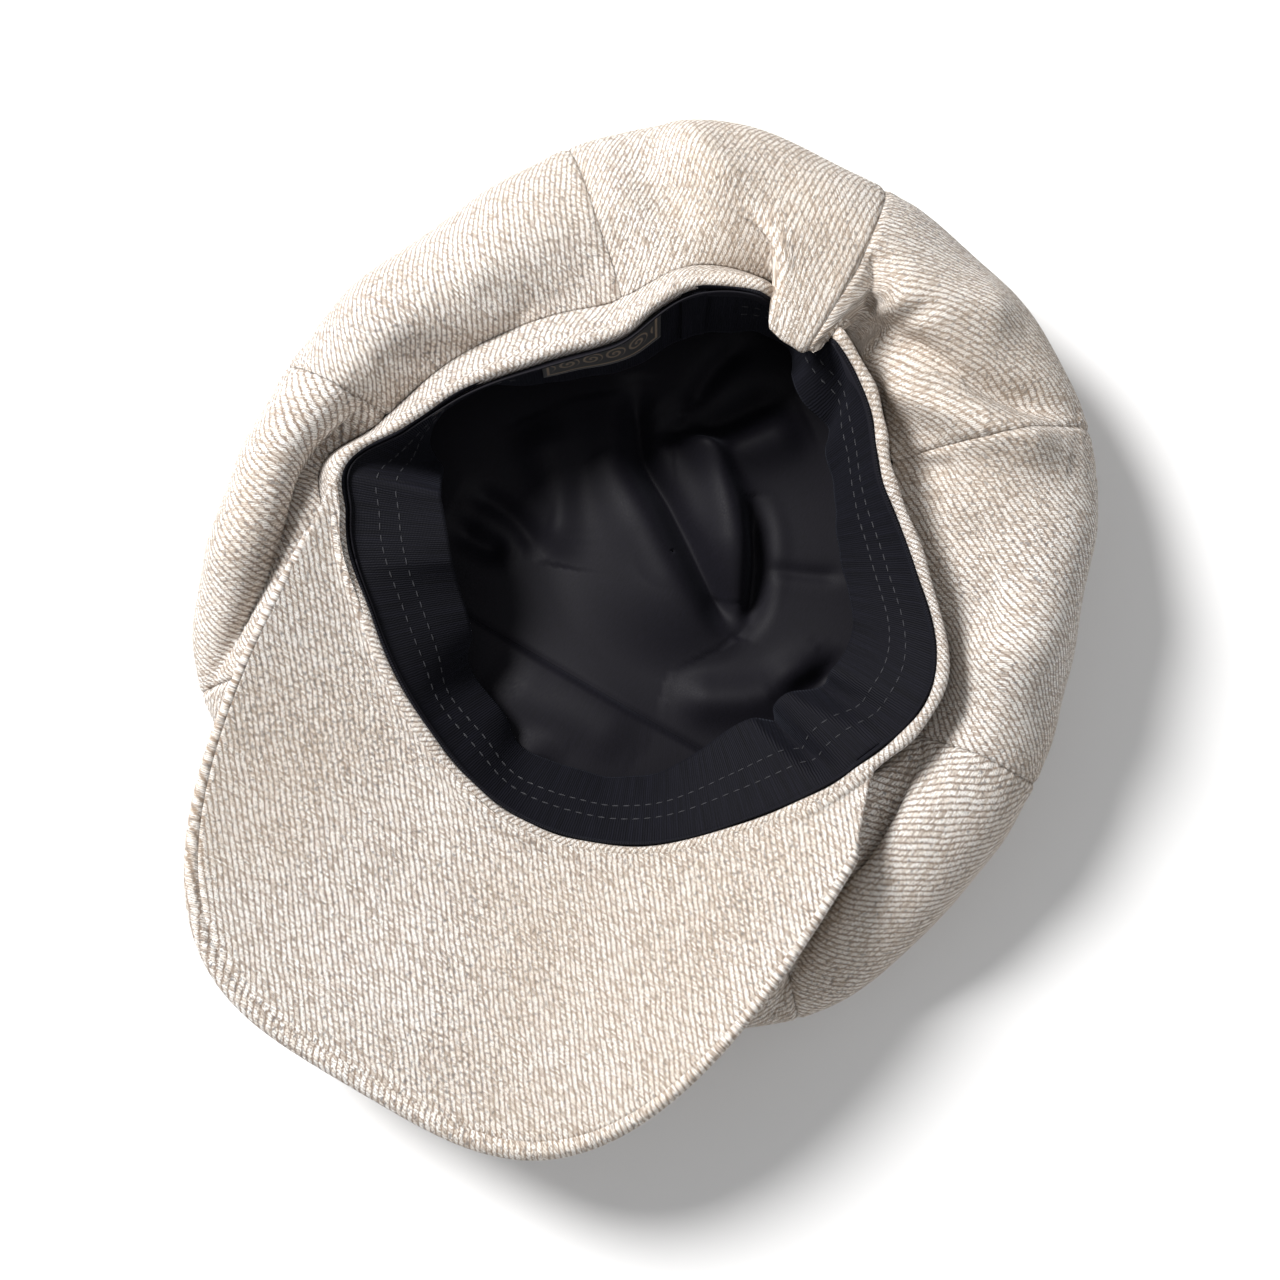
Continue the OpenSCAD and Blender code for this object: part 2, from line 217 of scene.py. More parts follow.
def distance_to(points, route):
    """Distance of each point to a route in plan, its side of it, and the share of the way along it."""
    best = np.full(len(points), 1e9)
    side = np.zeros(len(points))
    along = np.zeros(len(points))
    lengths = np.linalg.norm(np.diff(route, axis=0), axis=1)
    start = np.concatenate([[0], np.cumsum(lengths)])
    for k, (a, b) in enumerate(zip(route[:-1], route[1:])):
        d = b - a
        t = np.clip(((points - a) @ d) / (d @ d), 0, 1)
        gap = points - (a + t[:, None] * d)
        dist = np.hypot(gap[:, 0], gap[:, 1])
        near = dist < best
        best[near] = dist[near]
        side[near] = np.sign(d[0] * gap[:, 1] - d[1] * gap[:, 0])[near]
        along[near] = ((start[k] + t * lengths[k]) / start[-1])[near]
    return best, side, along


class Fold:
    """A ridge (height above 0) or a crease (below 0) in cloth, along a route seen from above.

    sharp folds have a pointed bottom or top. lean makes the side on the route's left steeper.
    """

    def __init__(self, route, width, height, sharp=False, lean=0.0, fade=0.25):
        self.route = smooth_route(route)
        self.width = width * MM
        self.height = height * MM
        self.sharp = sharp
        self.lean = lean
        self.fade = fade

    def lift(self, points):
        dist, side, along = distance_to(points, self.route)
        width = self.width * (1 - self.lean * np.where(side > 0, 1, -1))
        x = dist / width
        shape = np.exp(-1.4 * x) if self.sharp else np.exp(-x * x)
        ends = ease(along / self.fade) * ease((1 - along) / self.fade)
        beside = (along > 0) & (along < 1)
        return self.height * shape * (0.15 + 0.85 * ends) * np.where(beside, 1, ends + 0.15)


def crown_fold(route, *sizes, **kinds):
    return Fold([plan_point(a, s) for a, s in route], *sizes, **kinds)


CROWN_FOLDS = [
    crown_fold([(210, 0.95), (206, 0.66), (201, 0.52), (196, 0.42)], 8, 5, fade=0.4),
    crown_fold([(217, 0.95), (214, 0.65), (209, 0.45), (205, 0.3)], 9, -5, fade=0.4),
    crown_fold([(169, 0.1), (164, 0.2), (157, 0.31), (149, 0.43), (142, 0.65), (137, 0.93)], 4.5, -8),
    crown_fold([(162, 0.05), (156, 0.15), (147, 0.3), (138, 0.5), (131, 0.8)], 7, 8),
    crown_fold([(172, 0.3), (166, 0.42), (158, 0.6), (152, 0.85)], 9, 5),
    crown_fold([(130, 0.88), (117, 0.78), (104, 0.60), (89, 0.33)], 11, 5.5),
    crown_fold([(126, 0.3), (114, 0.36), (100, 0.25)], 8, -3.5),
    crown_fold([(148, 0.04), (139, 0.1), (133, 0.3)], 3, -3),
    crown_fold([(79, 0.02), (70, 0.07), (57, 0.27), (47, 0.56), (42, 0.85)], 4, 9, lean=0.2),
    crown_fold([(80, 0.12), (71, 0.2), (58, 0.42), (47, 0.71), (42, 0.95)], 3, -9, sharp=True),
    crown_fold([(274, 0.32), (280, 0.28), (289, 0.24), (303, 0.44), (312, 0.73), (317, 0.95)], 3.5, -9,
               sharp=True),
    crown_fold([(272, 0.6), (284, 0.55), (297, 0.62), (308, 0.85)], 9, 6),
    crown_fold([(169, 0.2), (171, 0.34), (175, 0.5)], 3, -3.5, sharp=True),
    crown_fold([(167, 0.12), (164, 0.3), (161, 0.5)], 3, -3),
    crown_fold([(226, 0.95), (224, 0.5), (222, 0.2)], 9, -3),
    crown_fold([(268, 0.5), (258, 0.22), (246, 0.16), (236, 0.16)], 5, -3.5),
    crown_fold([(270, 0.9), (262, 0.6), (250, 0.45), (236, 0.4)], 14, 4),
    crown_fold([(248, 0.5), (244, 0.35), (242, 0.2)], 4, -2),
]

# How far the crown's seams wander from even spacing, in degrees, at its outline and at the band
SEAM_SHIFT_OUT = [0, 0, -3, 0, 0, 0, 5, 2]
SEAM_SHIFT_BAND = [0, 0, -8, 5, -8, -3, 6, 2]


def seam_shift(angle, s):
    out, band = closed_curve(SEAM_SHIFT_OUT, angle), closed_curve(SEAM_SHIFT_BAND, angle)
    return out * ease(s - 1) + (band - out) * np.clip((s - 2) / 2, 0, 1)


def crown_lift(points, angle, s):
    """How far the folds, seams and puckers push the crown out of its plain shape."""
    plan = points[:, :2]
    x, y = plan[:, 0], plan[:, 1]
    upper = ease((s - 1.6) / 0.8)
    total = sum(fold.lift(plan) for fold in CROWN_FOLDS) * upper
    r = np.hypot(x - CROWN_X, y - CROWN_Y)
    from_seam = np.radians(np.abs((angle + HALF_PANEL) % PANEL - HALF_PANEL)) * r
    side_of_seam = np.where((angle % PANEL) < HALF_PANEL, 0.0, 1.7)
    groove = -0.8 * MM * np.exp(-((from_seam / (0.9 * MM)) ** 2))
    groove = groove + 0.15 * MM * np.exp(-(((from_seam - 2.5 * MM) / (1.5 * MM)) ** 2))
    along = s * 40
    pucker = 0.28 * MM * np.sin(along * 1.9 + side_of_seam + angle) * np.exp(-from_seam / (6 * MM)) * upper
    wander = 1.7 * np.sin(y / (17 * MM))
    waves = 0.5 * MM * (np.sin(x / (9 * MM) + wander) * np.sin(y / (11 * MM) + 0.6))
    slack = 1.6 * waves * upper * ease(from_seam / (12 * MM))
    keep = ease((4 - s) / 0.25)
    return (total + slack) * keep + groove * (0.3 + 0.7 * upper) + pucker * keep


# ---------------------------------------------------------------- cloth surfaces


# The lobe of cloth over the back of the rim: its middle and half its width in degrees, and its reach
LOBE_MIDDLE, LOBE_HALF, LOBE_REACH = 179.5, 12.5, 14 * MM


def crown_base(angle, s):
    """The crown's outer face.

    s runs 0 to 1 along the table, to 2 at the outline, to 3 on top and to 4 at the band.
    """
    foot, out, out_z = FOOT_SHARE * reach(angle), reach(angle), reach_z(angle)
    top, top_z, end_z = ridge_r(angle), ridge_z(angle), seam_z(angle) + 1 * MM
    end = band_r(angle, end_z) + 0.2 * MM
    table_r = TIP_R + (foot - TIP_R) * np.clip(s, 0, 1)
    low = np.radians(90 * np.clip(s - 1, 0, 1))
    high = np.radians(90 * np.clip(s - 2, 0, 1))
    run = np.clip(s - 3, 0, 1)
    slope_r = top + (end - top) * run
    slope_z = top_z + (end_z - top_z) * run**1.6
    over = flop(angle, run)
    shares = [0, 0.2, 0.4, 0.55, 0.66, 0.76, 0.88, 1]
    rim, rim_top = rim_r(angle), rim_z(angle)
    tip = LOBE_REACH * np.sqrt(np.clip(1 - ((angle - LOBE_MIDDLE) / LOBE_HALF) ** 2, 0.1, 1))
    lobe_r = through(shares, [
        top, rim + 17 * MM, rim + 3 * MM, rim - 0.65 * tip,
        rim - tip, rim - 0.6 * tip, rim + 2.5 * MM, end,
    ], run)
    lobe_z = through(shares, [
        top_z, top_z + 2.5 * MM, rim_top + 5.5 * MM, rim_top + 6 * MM,
        rim_top + 3.5 * MM, rim_top + 1.6 * MM, rim_top + 1.2 * MM, end_z,
    ], run)
    slope_r = slope_r + over * (lobe_r - slope_r)
    slope_z = slope_z + over * (lobe_z - slope_z)
    side_r, side_z = foot + (out - foot) * np.sin(low), out_z * (1 - np.cos(low))
    puff_r, puff_z = top + (out - top) * np.cos(high), out_z + (top_z - out_z) * np.sin(high)
    part = [s < 1, s < 2, s < 3]
    r = np.select(part, [table_r, side_r, puff_r], slope_r)
    z = np.select(part, [dish(table_r), side_z, puff_z], slope_z)
    return stand(r, z, angle)


def with_lift(base, lift, angle, s):
    """A surface pushed along its own normal."""
    points = base(angle, s)
    step = 1e-3
    across = base(angle + 0.05, s) - base(angle - 0.05, s)
    up = base(angle, s + step) - base(angle, s - step)
    normal = np.cross(across, up)
    normal /= np.linalg.norm(normal, axis=-1, keepdims=True) + 1e-12
    return points + normal * lift(points, angle, s)[..., None]


def cloth(name, columns, rows, place, flat, thickness, material, closed=False, side=-1):
    """A grid whose u and v, both 0 to 1, are placed in space, and unrolled flat for the cloth's weave."""
    bm = bmesh.new()
    bmesh.ops.create_grid(bm, x_segments=columns, y_segments=rows, size=0.5)
    bm.verts.ensure_lookup_table()
    co = np.array([v.co for v in bm.verts])
    u, v = np.round(co[:, 0] + 0.5, 6), np.round(co[:, 1] + 0.5, 6)
    points, unrolled = place(u, v), flat(u, v)
    weave = bm.loops.layers.uv.new("weave")
    for face in bm.faces:
        for loop in face.loops:
            loop[weave].uv = unrolled[loop.vert.index]
    for vert, point in zip(bm.verts, points):
        vert.co = point
    if closed:
        bmesh.ops.remove_doubles(bm, verts=bm.verts, dist=1e-6)
    for face in bm.faces:
        face.smooth = True
    piece = finish_mesh(bm, name, material)
    if thickness:
        wall = piece.modifiers.new("thickness", "SOLIDIFY")
        wall.thickness = thickness
        wall.offset = side
        wall.use_even_offset = False
    return piece


def finish_mesh(bm, name, material):
    mesh = bpy.data.meshes.new(name)
    bm.to_mesh(mesh)
    bm.free()
    mesh.materials.append(material)
    piece = bpy.data.objects.new(name, mesh)
    bpy.context.scene.collection.objects.link(piece)
    return piece


def turned(u, v, degrees):
    """Flat coordinates turned so that the twill's wales lie along the first one."""
    a = radians(degrees)
    return np.stack([u * cos(a) + v * sin(a), v * cos(a) - u * sin(a)], axis=-1)


def spread(u):
    """Grid shares drawn together towards both ends, where the seams need more of them."""
    return 0.45 * u + 0.55 * (0.5 - 0.5 * np.cos(pi * u))


# ---------------------------------------------------------------- pieces with their placement baked into their meshes


def flex(piece):
    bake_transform(piece)


# ---------------------------------------------------------------- materials


class Graph:
    """Builds one shader node tree."""

    def __init__(self, tree):
        self.tree = tree

    def node(self, kind, inputs=(), **settings):
        made = self.tree.nodes.new("ShaderNode" + kind)
        for key, value in settings.items():
            setattr(made, key, value)
        for key, value in dict(inputs).items():
            self.feed(made.inputs[key], value)
        return made

    def feed(self, socket, value):
        if isinstance(value, bpy.types.NodeSocket):
            self.tree.links.new(value, socket)
        else:
            socket.default_value = value

    def math(self, operation, a, b=0.0, c=0.0):
        made = self.tree.nodes.new("ShaderNodeMath")
        made.operation = operation
        for socket, value in zip(made.inputs, (a, b, c)):
            self.feed(socket, value)
        return made.outputs[0]

    def mix(self, share, a, b, blend="MIX"):
        made = self.node("Mix", data_type="RGBA", blend_type=blend)
        self.feed(made.inputs[0], share)
        self.feed(made.inputs[6], a)
        self.feed(made.inputs[7], b)
        return made.outputs[2]

    def ramp(self, share, stops):
        made = self.node("ValToRGB", {"Fac": share})
        ramp = made.color_ramp
        while len(ramp.elements) < len(stops):
            ramp.elements.new(0.5)
        for element, (place, colour) in zip(ramp.elements, stops):
            element.position = place
            element.color = colour if len(colour) == 4 else (*colour, 1)
        return made.outputs["Color"]

    def step(self, value, low, high):
        inputs = {"Value": value, "From Min": low, "From Max": high}
        return self.node("MapRange", inputs, interpolation_type="SMOOTHSTEP").outputs["Result"]

    def noise(self, vector, scale, detail=2.0, rough=0.5):
        inputs = {"Vector": vector, "Scale": scale, "Detail": detail, "Roughness": rough}
        return self.node("TexNoise", inputs).outputs["Fac"]

    def scaled(self, vector, scale, place=(0, 0, 0)):
        made = self.node("Mapping", {"Vector": vector, "Location": place, "Scale": scale})
        return made.outputs["Vector"]

    def weave_mm(self):
        """The cloth's flat coordinates in millimetres."""
        return self.scaled(self.node("UVMap", uv_map="weave").outputs[0], (1000, 1000, 1000))

    def dress(self, surface, values):
        for key, value in values.items():
            self.feed(surface.inputs[key], value)

    def relief(self, surface, height, strength, depth):
        """Bumps in a surface, with their depth in metres."""
        made = self.node("Bump", {"Strength": strength, "Distance": depth, "Height": height})
        self.feed(surface.inputs["Normal"], made.outputs[0])


def group(name, inputs, outputs):
    """A node group with named inputs and outputs, and its graph, its input sockets and its output node."""
    tree = bpy.data.node_groups.new(name, "ShaderNodeTree")
    for label, kind, default in inputs:
        socket = tree.interface.new_socket(label, in_out="INPUT", socket_type="NodeSocket" + kind)
        if default is not None:
            socket.default_value = default
    for label, kind in outputs:
        tree.interface.new_socket(label, in_out="OUTPUT", socket_type="NodeSocket" + kind)
    graph = Graph(tree)
    entry = tree.nodes.new("NodeGroupInput")
    leave = tree.nodes.new("NodeGroupOutput")
    return tree, graph, entry.outputs, leave.inputs


def placed(graph, tree, inputs):
    """A node group put to use in a material."""
    made = graph.tree.nodes.new("ShaderNodeGroup")
    made.node_tree = tree
    for key, value in inputs.items():
        graph.feed(made.inputs[key], value)
    return made.outputs


def linear(*srgb):
    """An sRGB colour of 0 to 255 in linear light."""
    values = [c / 255 for c in srgb]
    return tuple(c / 12.92 if c < 0.04045 else ((c + 0.055) / 1.055) ** 2.4 for c in values) + (1.0,)


def twill_group():
    """Slanting yarn floats, side by side in wales. Place is in metres, with the wales along its X."""
    tree, g, given, out = group(
        "twill weave",
        [("Place", "Vector", None), ("Pitch", "Float", 1.58), ("Float gap", "Float", 0.74)],
        [("Height", "Float"), ("Hump", "Float"), ("Yarn", "Float"), ("Fleck", "Float")],
    )
    mm = g.scaled(given["Place"], (1000, 1000, 1000))
    slow = g.node("TexNoise", {"Vector": mm, "Scale": 0.09, "Detail": 1.0}).outputs["Color"]
    quick = g.node("TexNoise", {"Vector": mm, "Scale": 1.1, "Detail": 2.0}).outputs["Color"]
    moved = mm
    for wander, amount in ((slow, 1.6), (quick, 0.9)):
        shift = g.node("VectorMath", {0: wander, 1: (0.5, 0.5, 0.5)}, operation="SUBTRACT").outputs[0]
        shift = g.node("VectorMath", {0: shift, "Scale": amount}, operation="SCALE").outputs[0]
        moved = g.node("VectorMath", {0: moved, 1: shift}, operation="ADD").outputs[0]
    apart = g.node("SeparateXYZ", {"Vector": moved}).outputs
    wale = g.math("DIVIDE", apart["Y"], given["Pitch"])
    wale_index = g.math("FLOOR", wale)
    wale_share = g.math("FRACT", wale)
    offset = g.math("MULTIPLY", wale_index, 0.37)
    lean = g.math("MULTIPLY", wale_share, -2.2)
    yarn = g.math("ADD", g.math("ADD", g.math("DIVIDE", apart["X"], given["Float gap"]), offset), lean)
    yarn_index = g.math("FLOOR", yarn)
    yarn_share = g.math("FRACT", yarn)
    across = g.math("POWER", g.math("SINE", g.math("MULTIPLY", wale_share, pi)), 0.9)
    along = g.math("POWER", g.math("SINE", g.math("MULTIPLY", yarn_share, pi)), 0.5)
    hump = g.math("MULTIPLY", across, along)
    fuzz = g.math("SUBTRACT", g.noise(mm, 1.7, 3.0, 0.75), 0.5)
    g.feed(out["Hump"], g.math("ADD", hump, g.math("MULTIPLY", fuzz, 2.4)))
    g.feed(out["Height"], g.math("ADD", g.math("MULTIPLY", hump, 0.45), g.math("MULTIPLY", fuzz, 1.5)))
    cell = g.node("CombineXYZ", {"X": yarn_index, "Y": wale_index}).outputs[0]
    g.feed(out["Yarn"], g.node("TexWhiteNoise", {"Vector": cell}, noise_dimensions="3D").outputs["Value"])
    g.feed(out["Fleck"], g.noise(mm, 0.85, 2.0, 0.6))
    return tree


TWILL_WEAVE = twill_group()


def new_material(name):
    material = bpy.data.materials.new(name)
    material.use_nodes = True
    material.node_tree.nodes.clear()
    graph = Graph(material.node_tree)
    surface = graph.node("BsdfPrincipled")
    output = graph.node("OutputMaterial")
    graph.tree.links.new(surface.outputs[0], output.inputs["Surface"])
    return material, graph, surface


def wool_twill():
    """Cream melange twill with grey and tan yarns, and painted shade in the gaps between its yarn floats."""
    material, g, surface = new_material("wool_twill")
    weave_uv = g.node("UVMap", uv_map="weave").outputs[0]
    place = g.node("TexCoord").outputs["Object"]
    weave = placed(g, TWILL_WEAVE, {"Place": weave_uv})
    cream, oat = linear(252, 249, 245), linear(240, 232, 223)
    tan, grey = linear(190, 178, 167), linear(96, 93, 95)
    colour = g.ramp(weave["Yarn"], [(0.0, tan), (0.3, oat), (0.65, cream), (1.0, cream)])
    # Painted shade: the low places between the yarn floats are painted a darker tan.
    gap_shade_mask = g.step(weave["Hump"], 0.0, 0.85)
    colour = g.mix(gap_shade_mask, linear(142, 125, 111), colour)
    patch = g.noise(place, 26.0, 3.0)
    flecks = g.math("ADD", weave["Fleck"], g.math("MULTIPLY", g.math("SUBTRACT", patch, 0.5), 0.3))
    colour = g.mix(g.math("MULTIPLY", g.step(flecks, 0.56, 0.66), 0.7), colour, grey)
    warm = g.noise(place, 13.0, 2.0)
    colour = g.mix(g.math("MULTIPLY", g.step(warm, 0.42, 0.68), 0.2), colour, linear(206, 184, 158))
    g.dress(surface, {"Base Color": colour, "Roughness": 0.95, "Specular IOR Level": 0.15})
    g.dress(surface, {"Sheen Weight": 0.08, "Sheen Roughness": 0.6})
    g.relief(surface, weave["Height"], 0.7, 0.0006)
    return material


def ribbed_ribbon():
    """Near-black grosgrain: fine ribs across the ribbon."""
    material, g, surface = new_material("ribbed_ribbon")
    mm = g.weave_mm()
    apart = g.node("SeparateXYZ", {"Vector": mm}).outputs
    wobble = g.math("MULTIPLY", g.noise(mm, 0.4), 0.5)
    ribs = g.math("SINE", g.math("MULTIPLY", g.math("ADD", apart["X"], wobble), 2 * pi / 0.75))
    threads = g.math("SINE", g.math("MULTIPLY", apart["Y"], 2 * pi / 0.45))
    height = g.math("ADD", g.math("MULTIPLY", ribs, 0.5), g.math("MULTIPLY", threads, 0.18))
    streaks = g.noise(g.scaled(mm, (1.6, 0.05, 1.0)), 1.0, 2.0)
    # Random streaks, with the valleys between the ribs painted a little darker: painted shade.
    tone = g.math("ADD", g.math("MULTIPLY", streaks, 0.7), g.math("MULTIPLY", height, 0.15))
    colour = g.ramp(tone, [(0.2, linear(9, 9, 14)), (0.75, linear(24, 24, 34))])
    g.dress(surface, {"Base Color": colour, "Roughness": 0.68, "Specular IOR Level": 0.14})
    g.dress(surface, {"Sheen Weight": 0.03, "Sheen Tint": (0.7, 0.76, 1.0, 1), "Sheen Roughness": 0.4})
    g.relief(surface, height, 0.7, 0.0002)
    return material


def dark_satin():
    """Lining satin with a fine weft and soft lustre."""
    material, g, surface = new_material("dark_satin")
    mm = g.weave_mm()
    weft = g.noise(g.scaled(mm, (3.2, 0.35, 1.0)), 1.0, 3.0, 0.6)
    fine = g.noise(mm, 2.6, 2.0)
    tone = g.math("ADD", g.math("MULTIPLY", weft, 0.6), g.math("MULTIPLY", fine, 0.4))
    colour = g.ramp(tone, [(0.3, linear(8, 7, 12)), (0.75, linear(19, 17, 26))])
    rough = g.ramp(fine, [(0.3, (0.6, 0.6, 0.6)), (0.7, (0.74, 0.74, 0.74))])
    g.dress(surface, {"Base Color": colour, "Roughness": rough, "Specular IOR Level": 0.2})
    g.dress(surface, {"Sheen Weight": 0.03, "Sheen Tint": (0.75, 0.78, 1.0, 1)})
    g.relief(surface, tone, 0.4, 0.0001)
    return material


def woven_patch():
    """Bronze and black damask: a plain woven frame with scrolls inside it."""
    material, g, surface = new_material("woven_patch")
    mm = g.weave_mm()
    apart = g.node("SeparateXYZ", {"Vector": mm}).outputs
    x, y = apart["X"], apart["Y"]
    from_edge = g.math("MINIMUM", g.math("SUBTRACT", LABEL_W / MM / 2, g.math("ABSOLUTE", x)),
                       g.math("SUBTRACT", LABEL_H / MM / 2, g.math("ABSOLUTE", y)))
    outside = g.step(from_edge, 1.2, 1.5)
    frame_line = g.math("MULTIPLY", outside, g.math("SUBTRACT", 1.0, g.step(from_edge, 2.1, 2.4)))
    cell_x = g.math("SUBTRACT", g.math("FRACT", g.math("DIVIDE", x, 9.0)), 0.5)
    cell_x = g.math("MULTIPLY", cell_x, 9.0)
    radius = g.math("SQRT", g.math("ADD", g.math("MULTIPLY", cell_x, cell_x), g.math("MULTIPLY", y, y)))
    turn = g.math("ARCTAN2", y, cell_x)
    coil = g.math("SINE", g.math("ADD", g.math("MULTIPLY", radius, 2.6), turn))
    scroll = g.math("MULTIPLY", g.step(coil, 0.1, 0.5), g.math("SUBTRACT", 1.0, g.step(radius, 4.0, 4.4)))
    scroll = g.math("MULTIPLY", scroll, g.step(from_edge, 3.0, 3.3))
    motif = g.math("MAXIMUM", frame_line, scroll)
    threads = g.math("SINE", g.math("MULTIPLY", x, 2 * pi / 0.4))
    # The bronze motif, dimmed, with painted shade in the grooves between its threads.
    motif_with_thread_shade = g.math("MULTIPLY", motif, g.math("ADD", 0.75, g.math("MULTIPLY", threads, 0.2)))
    colour = g.mix(motif_with_thread_shade, linear(20, 18, 21), linear(150, 130, 108))
    g.dress(surface, {"Base Color": colour, "Roughness": 0.6, "Sheen Weight": 0.2})
    g.relief(surface, g.math("ADD", motif, g.math("MULTIPLY", threads, 0.2)), 0.5, 0.0002)
    return material


def spun_thread(name, dark, light):
    """Twisted sewing thread."""
    material, g, surface = new_material(name)
    place = g.node("TexCoord").outputs["Object"]
    twist = g.noise(place, 2600.0, 2.0)
    colour = g.ramp(twist, [(0.35, dark), (0.65, light)])
    g.dress(surface, {"Base Color": colour, "Roughness": 0.7, "Sheen Weight": 0.3})
    g.relief(surface, twist, 0.4, 0.0001)
    return material


def pressed_sheet(name, colour, rough, metallic=0.0, grain=900.0):
    """Hidden sheet goods: board, interlining, pressed metal."""
    material, g, surface = new_material(name)
    place = g.node("TexCoord").outputs["Object"]
    mottle = g.noise(place, grain, 3.0)
    dark = tuple(0.8 * c for c in colour[:3]) + (1,)
    tone = g.ramp(mottle, [(0.35, dark), (0.65, colour)])
    gloss = g.ramp(mottle, [(0.3, (rough,) * 3), (0.7, (rough + 0.12,) * 3)])
    g.dress(surface, {"Base Color": tone, "Roughness": gloss, "Metallic": metallic})
    g.relief(surface, mottle, 0.2, 0.0001)
    return material


LABEL_W, LABEL_H = 46 * MM, 16 * MM
twill = wool_twill()
ribbon = ribbed_ribbon()
satin = dark_satin()
label_cloth = woven_patch()
dark_thread = spun_thread("dark_thread", linear(16, 16, 22), linear(34, 34, 44))
light_thread = spun_thread("light_thread", linear(205, 192, 172), linear(240, 232, 216))
interlining_cloth = pressed_sheet("stiff_interlining", linear(232, 229, 222), 0.85)
board = pressed_sheet("peak_board", linear(228, 227, 222), 0.5)
steel = pressed_sheet("pressed_steel", linear(190, 190, 194), 0.32, 1.0, 300.0)
brass = pressed_sheet("brass_washer", linear(196, 160, 96), 0.35, 1.0, 300.0)


# ---------------------------------------------------------------- crown

# Angle of the wales from the across direction of each panel
GRAIN = [34, 134, 45, 25, 73, 60, 49, 124]
BAND_GRAIN = 62
PEAK_GRAIN = 127


def meridian_length(angle, s):
    """Length along the crown's meridian from its centre to each place."""
    column, index = np.unique(np.round(angle, 4), return_inverse=True)
    table_s = np.linspace(0, 4, 161)
    grid_angle, grid_s = np.meshgrid(column, table_s, indexing="ij")
    points = crown_base(grid_angle.ravel(), grid_s.ravel()).reshape(*grid_angle.shape, 3)
    steps = np.linalg.norm(np.diff(points, axis=1), axis=2)
    length = np.concatenate([np.zeros((len(column), 1)), np.cumsum(steps, axis=1)], axis=1)
    place = np.clip(s / 4 * 160, 0, 159.9999)
    first = place.astype(int)
    f = place - first
    return length[index, first] * (1 - f) + length[index, first + 1] * f


def crown_rows(v):
    """Grid rows to s: few where the crown lies on the table, many on the puffed ring."""
    return np.interp(v, [0, 0.18, 0.38, 0.72, 1], [0, 1, 2, 3, 4])


def crown_panel(number):
    start, middle = PANEL * (number - 1), PANEL * number - HALF_PANEL

    def place(u, v):
        even, s = start + PANEL * spread(u), crown_rows(v)
        angle = even + seam_shift(even, s)
        return with_lift(crown_base, lambda points, _, s: crown_lift(points, even, s), angle, s)

    def flat(u, v):
        even, s = start + PANEL * spread(u), crown_rows(v)
        angle = even + seam_shift(even, s)
        points = crown_base(angle, s)
        r = np.hypot(points[:, 0] - CROWN_X, points[:, 1] - CROWN_Y)
        across = np.radians(angle - middle) * r
        return turned(across, meridian_length(even, s), GRAIN[number - 1])

    piece = cloth(f"crown_panel_{number}_cloth", 64, 128, place, flat, TWILL, twill)
    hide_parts(f"crown_panel_{number}")
    if number in (1, 2, 7, 8):
        flex(piece)
    else:
        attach(piece, "cap")


# ---------------------------------------------------------------- headband, with the rim rolled over it

ROLL = 1.9 * MM


def band_section(angle, v):
    """v 0 at the crown seam, up the outer face, over the rolled rim at 0.6, and down inside."""
    top = rim_z(angle) - ROLL
    low = seam_z(angle) - 1 * MM
    rise = np.clip(v / 0.55, 0, 1)
    z_out = low + (top - low) * rise
    r_out = band_r(angle, z_out)
    groove = -0.7 * MM * np.exp(-(((z_out - (top - 2.2 * MM)) / (0.8 * MM)) ** 2))
    turn = pi * np.clip((v - 0.55) / 0.2, 0, 1)
    r_roll = band_r(angle, top) - ROLL + ROLL * np.cos(turn)
    z_roll = top + ROLL * np.sin(turn)
    fall = np.clip((v - 0.75) / 0.25, 0, 1)
    r = np.where(v < 0.55, r_out + groove, np.where(v < 0.75, r_roll, r_roll - 0.3 * MM * fall))
    z = np.where(v < 0.55, z_out, np.where(v < 0.75, z_roll, top - 7 * MM * fall))
    return stand(r, z, angle)


def band_lift(points, angle, v):
    uneven = 0.25 * MM * np.sin(np.radians(angle) * 23 + 2 * np.sin(np.radians(angle) * 5))
    return uneven * np.sin(pi * np.clip(v, 0, 1))


def around(angle_from, angle_to, base_r):
    """Distance round a ring, as a table over the angle."""
    angle = np.linspace(angle_from, angle_to, 721)
    points = stand(base_r(angle), 0 * angle, angle)
    steps = np.linalg.norm(np.diff(points, axis=0), axis=1)
    return angle, np.concatenate([[0], np.cumsum(steps)])


def headband():
    angles, length = around(0, 360, rim_r)

    def place(u, v):
        return with_lift(band_section, band_lift, 360 * u, v)

    def flat(u, v):
        return turned(np.interp(360 * u, angles, length), 36 * MM * v, BAND_GRAIN)

    piece = cloth("headband_cloth", 480, 44, place, flat, TWILL * 0.8, twill, closed=True)
    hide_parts("headband")
    flex(piece)


def interlining():
    angles, length = around(0, 360, rim_r)

    def place(u, v):
        angle = 360 * u
        z = seam_z(angle) + 1 * MM + (rim_z(angle) - seam_z(angle) - 4.5 * MM) * v
        return stand(band_r(angle, z) - TWILL - 0.3 * MM, z, angle)

    def flat(u, v):
        return np.stack([np.interp(360 * u, angles, length), 18 * MM * v], axis=-1)

    piece = cloth("band_interlining_cloth", 240, 8, place, flat, 0.6 * MM, interlining_cloth, closed=True)
    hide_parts("band_interlining")
    flex(piece)


# ---------------------------------------------------------------- sweatband

RIBBON_DEPTH = 4.5 * MM


